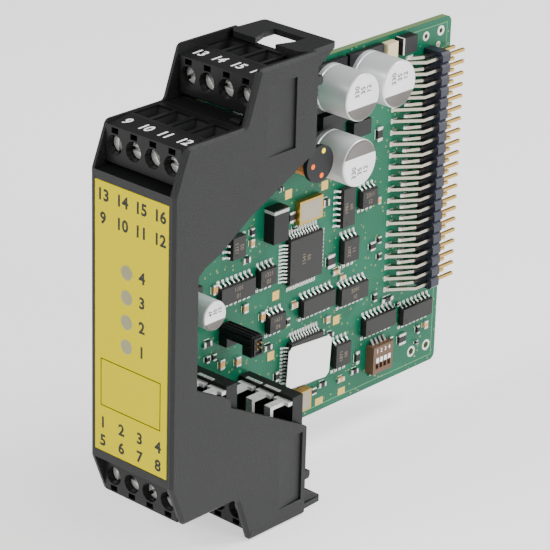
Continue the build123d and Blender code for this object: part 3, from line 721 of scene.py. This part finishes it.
tan_bodies, black_bodies, plated_ends = [], [], []
for low, high, foot in islands("chip_parts"):
    middle = ((low[1] + high[1]) / 2, (low[2] + high[2]) / 2)
    tan = any(abs(middle[0] - y) < 0.3 and abs(middle[1] - z) < 0.3 for y, z in TAN_PLACES)
    body, ends = chip_part("chip_part", low, high)
    (tan_bodies if tan else black_bodies).append(body)
    plated_ends += ends
tan_piece = dressed(joined("chip_parts_tan", tan_bodies), tan_ceramic)
black_piece = dressed(joined("chip_parts_black", black_bodies), black_ceramic)
dressed(joined("chip_part_ends", plated_ends), solder, 40)
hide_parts("chip_parts")
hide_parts("chip_parts")

# Gull-wing leads, in place of the plain sloping ones. The model is 1 mm long and 1 mm wide.
gull = block("gull_lead", (0.62, -0.08, -0.5), (LEAD_TOP, 0.14, 0.5))
shape(gull, "FACE", facing(1), drawn_out((-0.05, 0.08, 0)), drawn_out((-0.42, 0.20, 0)),
      drawn_out((-0.12, 0.12, 0)), drawn_out((0, 0.46, 0)))
soften(gull, 0.025, 1)
fillet = block("solder_fillet", (0, -0.5, -0.5), (0.16, 0.5, 0.5))
shape(fillet, "FACE", facing(0), lambda: bpy.ops.transform.resize(value=(1, 0.6, 0.6)))
gull_places = []
pads = []
for low, high, foot in islands("chip_leads"):
    middle = [(a + b) / 2 for a, b in zip(low, high)]
    axis = 1 if abs(foot[1] - middle[1]) > abs(foot[2] - middle[2]) else 2
    outwards = 1 if foot[axis] > middle[axis] else -1
    reach = high[axis] - low[axis]
    width = high[3 - axis] - low[3 - axis]
    start = list(middle)
    start[0] = BOARD_FACE
    start[axis] = low[axis] if outwards > 0 else high[axis]
    turn = {(1, 1): 0.0, (1, -1): 2 * QUARTER, (2, 1): QUARTER, (2, -1): -QUARTER}[(axis, outwards)]
    gull_places.append((start, (turn, 0, 0), ((high[0] - BOARD_FACE) / LEAD_TOP, reach, width)))
    under = list(start)
    under[axis] += outwards * (reach - 0.22)
    pads.append((under, (turn, 0, 0), (0.55, 0.85, width * 1.55)))
gull_leads = dressed(joined("gull_leads", copied(gull, gull_places)), bright_tin, 35)
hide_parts("chip_leads")
for low, high, foot in islands("header_posts"):
    pads.append(((BOARD_FACE, foot[1], foot[2]), NO_TURN, (2.2, 2.0, 1.15)))
dressed(joined("solder_fillets", copied(fillet, pads)), solder, 50)

# Drawn cans with a bead above the foot, a rounded rim and a sunk end, in place of the plain ones
cans = []
for low, high, foot in islands("capacitor_cans"):
    middle = (low[0], (low[1] + high[1]) / 2, (low[2] + high[2]) / 2)
    radius = (high[1] - low[1]) / 2
    small = radius < 4
    collar = 0.5 if small else 0.95
    can = disc("capacitor_can", middle, radius, collar, "X", 56)
    straight = high[0] - low[0] - collar - 0.55 - 0.52
    profile = [(0.15, 0.955), (0.25, 1.0), (0.15, 1 / 0.955), (straight, 1.0), (0.20, 0.990), (0.17, 0.972),
               (0.15, 0.950)]
    shape(can, "FACE", facing(0), *[drawn_out((climb, 0, 0), size, middle) for climb, size in profile],
          inset(0.22), inset(0.10, 0.07))
    cans.append(can)
drawn_cans = dressed(joined("drawn_cans", cans), finishes["capacitor_cans"], 35)
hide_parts("capacitor_cans")

# Plain numbers on the cans' ends, read upwards
can_numbers = []
for y, z, top, step, height, shift, texts in CAN_PRINTS:
    rows = [(text, (top, y + (i - 1) * step, z + shift)) for i, text in enumerate(texts)]
    can_numbers += written(rows, height, UPWARDS, 0.0, 0.02)
dressed(joined("can_numbers", can_numbers), can_ink)

# The choke's winding as real turns of wire: a round section swept round the core
coil_low, coil_high = [[c / MM for c in corner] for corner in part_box("choke_winding")]
coil_middle = [(a + b) / 2 for a, b in zip(coil_low, coil_high)]
coil_radius = (coil_high[1] - coil_low[1]) / 2 - WIRE_RADIUS
turns = int((coil_high[0] - coil_low[0] - 3 * WIRE_RADIUS) / (2 * WIRE_RADIUS))
bpy.ops.object.select_all(action="DESELECT")
bpy.ops.mesh.primitive_circle_add(vertices=8, radius=WIRE_RADIUS * MM, location=(0, coil_radius * MM, 0))
coil = bpy.context.object
settle(coil)
sweep = coil.modifiers.new("wind", "SCREW")
sweep.axis = "X"
sweep.screw_offset = 2 * WIRE_RADIUS * MM
sweep.iterations = turns
sweep.steps = sweep.render_steps = 36
bpy.ops.object.modifier_apply(modifier="wind")
only(coil)
bpy.ops.object.mode_set(mode="EDIT")
bpy.ops.mesh.select_all(action="SELECT")
bpy.ops.mesh.remove_doubles(threshold=1e-7)
bpy.ops.mesh.fill_holes(sides=0)
bpy.ops.mesh.normals_make_consistent(inside=False)
bpy.ops.object.mode_set(mode="OBJECT")
coil.location = (coil_low[0] * MM + 1.5 * WIRE_RADIUS * MM, coil_middle[1] * MM, coil_middle[2] * MM)
settle(coil)
drum = disc("winding_drum", (coil_low[0], coil_middle[1], coil_middle[2]), coil_radius,
            coil_high[0] - coil_low[0], "X", 32)
shape(drum, "FACE", facing(0), inset(0.3, 0.05))
coil = dressed(joined("wound_wire", [coil, drum]), finishes["choke_winding"], 40)
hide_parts("choke_winding")

# Round slotted screws, in place of the many-sided ones. Each one rides on its own screw's body.
for number, slot_turn in enumerate(SLOT_TURNS, 1):
    node = f"terminal_screw_{number:02d}"
    low, high = [[c / MM for c in corner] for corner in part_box(node)]
    screw = disc(f"slotted_screw_{number:02d}", (0, 0, 0), SCREW_RADIUS, SCREW_HEAD, "Y", 40)
    shank = high[1] - low[1] - SCREW_HEAD
    shape(screw, "FACE", facing(1), inset(0.62), drawn_out((0, shank, 0)), inset(0.25, -0.1))
    slot_half = SCREW_SLOT[0] / 2
    carved(screw, block("slot_tool", (-3, -1, -slot_half), (3, SCREW_SLOT[1], slot_half)))
    soften(screw, 0.09, 2)
    screw.rotation_euler = (0, math.radians(slot_turn), 0)
    screw.location = [(low[0] + high[0]) / 2 * MM, low[1] * MM, (low[2] + high[2]) / 2 * MM]
    settle(screw)
    screw.data.materials.clear()
    screw.data.materials.append(steel)
    only(screw)
    bpy.ops.object.shade_smooth_by_angle(angle=math.radians(35))
    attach(screw, f"screw_{number:02d}")
    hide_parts(node)

# Black ledges that close the step between the two tiers and hide the board below, with a groove and a lug.
# Their black is a dark sheet where the step has a shaded hollow: painted shade.
ledges = []
for sign in (1, -1):
    low_z, high_z = sorted(sign * z for z in LEDGE_Z)
    ledge = block("tier_ledge", (-LEDGE_HALF, LEDGE_FRONT, low_z), (LEDGE_HALF, LEDGE_REAR, high_z))
    shape(ledge, "FACE", facing(2, sign), inset(0.55, 0.0), inset(0.12, 0.12))
    ledges.append(soften(ledge, 0.05))
    low_z, high_z = sorted(sign * z for z in LUG_Z)
    lug = block("ledge_lug", (*LUG_LOW, low_z), (*LUG_HIGH, high_z))
    shape(lug, "FACE", facing(2, sign), inset(0.3, 0.0), inset(0.1, -0.15))
    ledges.append(soften(lug, 0.25, 3))
# The ledges take the cover's black, which stands in for the shade of the hollow between the tiers (painted
# shade).
dressed(joined("tier_shade_ledges", ledges), black_cover, 40)

# Bright contact feet along the front edge of both lower risers
foot_model = block("contact_foot", (-FOOT_SIZE[0] / 2, 0, 0), (FOOT_SIZE[0] / 2, *FOOT_SIZE[1:]))
shape(foot_model, "FACE", facing(2), inset(0.1, 0.0), inset(0.05, -0.02))
soften(foot_model, 0.04)
foot_places = [((x, y, z), NO_TURN, FULL_SIZE) for y, z in RISER_EDGES for x in FOOT_X]
dressed(joined("contact_feet", copied(foot_model, foot_places)), bright_tin)

# Marks on the packages: a pin mark on each, and two plain numbers on all but the wide ones low on the board
pin_dot = disc("pin_mark", (0, 0, 0), 0.42, 0.03, "X", 20)
shape(pin_dot, "FACE", facing(0), inset(0.12, 0.015))
dots = []
numbers = []
for i, (low, high, foot) in enumerate(islands("chip_packages")):
    wide_y, wide_z = high[1] - low[1], high[2] - low[2]
    top = high[0]
    dots.append(((top - 0.005, low[1] + DOT_INSET, low[2] + DOT_INSET), NO_TURN, FULL_SIZE))
    if wide_y < 9.5 or low[2] > -10:
        centre_y, centre_z = (low[1] + high[1]) / 2, (low[2] + high[2]) / 2
        turn = REARWARDS if wide_y >= wide_z else UPWARDS
        for text, side in ((str(1101 + 110 * i), -0.75), (f"{i + 1:02d}", 0.75)):
            shift_y, shift_z = (0, -side) if wide_y >= wide_z else (side, 0)
            numbers.append((text, (top + 0.004, centre_y + shift_y, centre_z + shift_z), turn))
dressed(joined("pin_marks", copied(pin_dot, dots)), black_plain)
number_pieces = []
for text, place, turn in numbers:
    number_pieces += written([(text, place)], 0.95, turn, 0.0, 0.01)
dressed(joined("package_numbers", number_pieces), print_brown)

# Coloured dots on the choke's lid
lid_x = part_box("choke_core")[1][0] / MM
for name, places, material in (("choke_dot_yellow", ((50.6, 23.9),), dot_yellow),
                               ("choke_dots_orange", ((47.6, 21.2), (50.2, 18.8)), dot_orange)):
    model = disc(name, (0, 0, 0), 0.55, 0.04, "X", 24)
    shape(model, "FACE", facing(0), inset(0.1, -0.01))
    made = copied(model, [((lid_x - 0.02, y, z), NO_TURN, FULL_SIZE) for y, z in places])
    dressed(joined(name, made), material)

# The slide switch's leads and numbers
switch_low, switch_high = [[c / MM for c in corner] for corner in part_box("switch_body")]
lead_model = block("switch_lead", (0, -0.3, 0), (0.2, 0.3, 1.25))
shape(lead_model, "FACE", facing(2, -1), lambda: bpy.ops.transform.translate(value=(0.9 * MM, 0, 0)))
legs = []
switch_items = []
for i in range(SWITCH_WAYS):
    y = (switch_low[1] + switch_high[1]) / 2 + (i - (SWITCH_WAYS - 1) / 2) * SWITCH_PITCH
    legs.append(((BOARD_FACE, y, switch_high[2] - 0.05), NO_TURN, FULL_SIZE))
    legs.append(((BOARD_FACE, y, switch_low[2] + 0.05), (math.pi, 0, 0), FULL_SIZE))
    switch_items.append((str(i + 1), (switch_high[0] + 0.004, y, switch_high[2] - 1.1)))
dressed(joined("switch_leads", copied(lead_model, legs)), tin)
switch_numbers = joined("switch_numbers", written(switch_items, 0.9, REARWARDS, 0.0, 0.02))
dressed(switch_numbers, print_white)

# The board's printed lines beside the small parts
print_bar = block("print_bar", (0, -0.5, -0.07), (0.03, 0.5, 0.07))
shape(print_bar, "FACE", facing(0), inset(0.015, 0.0), inset(0.01, -0.005))
bars = []
for low, high, foot in islands("chip_parts"):
    wide_y, wide_z = high[1] - low[1], high[2] - low[2]
    centre_y, centre_z = (low[1] + high[1]) / 2, (low[2] + high[2]) / 2
    for side in (-1, 1):
        if wide_y > wide_z:
            place = (BOARD_FACE, centre_y, centre_z + side * (wide_z / 2 + 0.3))
            bars.append((place, NO_TURN, (1, wide_y * 0.7, 1)))
        else:
            place = (BOARD_FACE, centre_y + side * (wide_y / 2 + 0.3), centre_z)
            bars.append((place, (QUARTER, 0, 0), (1, wide_z * 0.7, 1)))
dressed(joined("board_print", copied(print_bar, bars)), board_print)

# Ribs, an end frame and pins on the plug socket
socket_low, socket_high = [[c / MM for c in corner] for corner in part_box("plug_socket")]
rib_model = block("socket_rib", (-4.2, -0.16, 0), (4.2, 0.16, 0.22))
shape(rib_model, "FACE", facing(2), inset(0.08, 0.0), inset(0.03, -0.05))
soften(rib_model, 0.03)
rib_x = (socket_low[0] + socket_high[0]) / 2
rib_places = [((rib_x, socket_low[1] + 0.5 + i * 1.0, socket_high[2] - 0.02), NO_TURN, FULL_SIZE)
              for i in range(3)]
rib_places += [((rib_x, socket_low[1] + 0.02, socket_high[2] - 0.7 - i * 1.4), (QUARTER, 0, 0), FULL_SIZE)
               for i in range(2)]
dressed(joined("socket_ribs", copied(rib_model, rib_places)), black_plain)
end_frame = block("socket_end", (socket_high[0] - 0.05, socket_low[1] + 0.25, socket_high[2] - 4.1),
                  (socket_high[0] + 0.45, socket_high[1] - 0.25, socket_high[2] - 0.3))
shape(end_frame, "FACE", facing(0), inset(0.35, 0.0), inset(0.08, 0.4))
dressed(soften(end_frame, 0.05), black_plain)
pin_model = block("socket_pin", (0, -0.16, -0.16), (0.75, 0.16, 0.16))
shape(pin_model, "FACE", facing(0), drawn_out((0.2, 0, 0), 0.5))
pin_middle = (socket_low[1] + socket_high[1]) / 2
pin_places = [((socket_high[0] - 0.2, pin_middle + side * 0.55, socket_high[2] - 1.4 - row * 1.1),
               NO_TURN, FULL_SIZE) for side in (-1, 1) for row in (0, 1)]
dressed(joined("socket_pins", copied(pin_model, pin_places)), gilt_lead)

# The floor, the lights and the camera
bpy.ops.object.select_all(action="DESELECT")
bpy.ops.mesh.primitive_plane_add(size=6.0, location=(0, 0, cad_box[0][2]))
floor = bpy.context.object
floor.name = "floor"
paving = Finish("floor_paper")
floor_tone = paving.mix(paving.noise(0.004, 2.0), (0.90, 0.90, 0.90), (0.93, 0.93, 0.93))
floor.data.materials.append(paving.done(floor_tone, 0.7, glow=0.85))

world = bpy.data.worlds.new("studio")
bpy.context.scene.world = world
world.use_nodes = True
world.node_tree.nodes["Background"].inputs["Color"].default_value = (1.0, 1.0, 1.0, 1.0)
world.node_tree.nodes["Background"].inputs["Strength"].default_value = 0.30


def lamp(name, place, aim, size, power):
    """A soft square light at a place, aimed at a point, in metres and watts."""
    light = bpy.data.lights.new(name, "AREA")
    light.size = size
    light.energy = power
    o = bpy.data.objects.new(name, light)
    bpy.context.collection.objects.link(o)
    o.location = place
    o.rotation_euler = (Vector(aim) - Vector(place)).to_track_quat("-Z", "Y").to_euler()


lamp("key_light", (-0.15, -0.65, 0.45), (0, 0.03, 0), 0.35, 4.2)
lamp("side_light", (0.85, 0.02, 0.35), (0, 0.05, 0), 0.45, 5.5)
lamp("top_light", (0.35, 0.55, 0.75), (0, 0.05, 0), 0.45, 8.0)

# The camera, fitted to the photograph
AZIMUTH, ELEVATION, ROLL = math.radians(42.329), math.radians(23.369), math.radians(1.569)
FOCAL, SHIFT_RIGHT, SHIFT_UP, DISTANCE = 2763.26, 27.265, 10.539, 522.704  # pixels, then millimetres
SENSOR, PHOTO_WIDTH = 36.0, 550.0  # millimetres and pixels
ahead = Vector((-math.sin(AZIMUTH) * math.cos(ELEVATION), math.cos(AZIMUTH) * math.cos(ELEVATION),
                -math.sin(ELEVATION)))
level_right = Vector((math.cos(AZIMUTH), math.sin(AZIMUTH), 0))
level_up = level_right.cross(ahead)
right = level_right * math.cos(ROLL) + level_up * math.sin(ROLL)
up = level_up * math.cos(ROLL) - level_right * math.sin(ROLL)
camera_data = bpy.data.cameras.new("camera")
camera_data.sensor_width = SENSOR
camera_data.lens = FOCAL * SENSOR / PHOTO_WIDTH
camera = bpy.data.objects.new("camera", camera_data)
bpy.context.collection.objects.link(camera)
place = (right * SHIFT_RIGHT + up * SHIFT_UP - ahead * DISTANCE) * MM
camera.matrix_world = Matrix((
    (right[0], up[0], -ahead[0], place[0]),
    (right[1], up[1], -ahead[1], place[1]),
    (right[2], up[2], -ahead[2], place[2]),
    (0, 0, 0, 1),
))
camera_data.clip_start = 0.01
camera_data.clip_end = 20.0
bpy.context.scene.camera = camera
